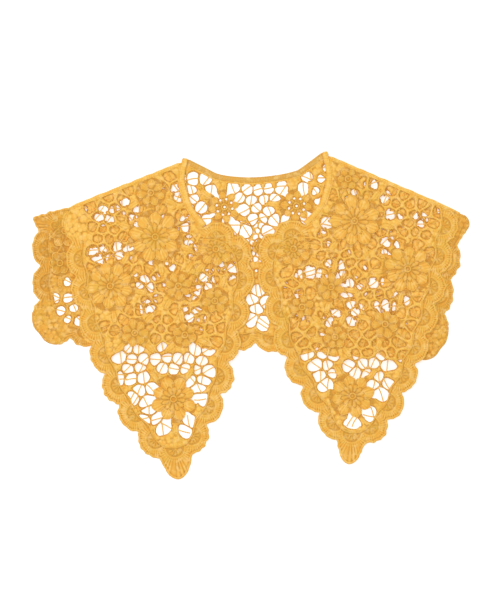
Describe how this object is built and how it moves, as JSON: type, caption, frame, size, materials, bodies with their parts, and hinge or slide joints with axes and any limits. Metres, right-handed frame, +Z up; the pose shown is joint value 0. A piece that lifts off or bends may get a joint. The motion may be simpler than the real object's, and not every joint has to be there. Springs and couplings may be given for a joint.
{
  "type": "detachable lace collar",
  "caption": "Detachable guipure lace collar laid flat and face up: a scalloped back panel under two pointed front panels, with a bound neckline and raised floral motifs.",
  "frame": {"origin": "on the surface the collar lies on, under the middle of its outline's box", "axes": "+X across the collar towards the wearer's left shoulder as it lies, +Y towards the neck, +Z up from the surface"},
  "size_m": [0.4377, 0.3278, 0.0043],
  "materials": {
    "lace_thread": "satin stitched embroidery thread, soft matte sheen",
    "neck_tape": "woven binding tape, matte"
  },
  "bodies": {
    "root": {"back_panel": "lace_thread", "front_left": "lace_thread", "front_right": "lace_thread", "shoulder_fold_left": "lace_thread", "shoulder_fold_right": "lace_thread", "neck_tape_back": "neck_tape", "neck_tape_left": "neck_tape", "neck_tape_right": "neck_tape"}
  },
  "joints": []
}
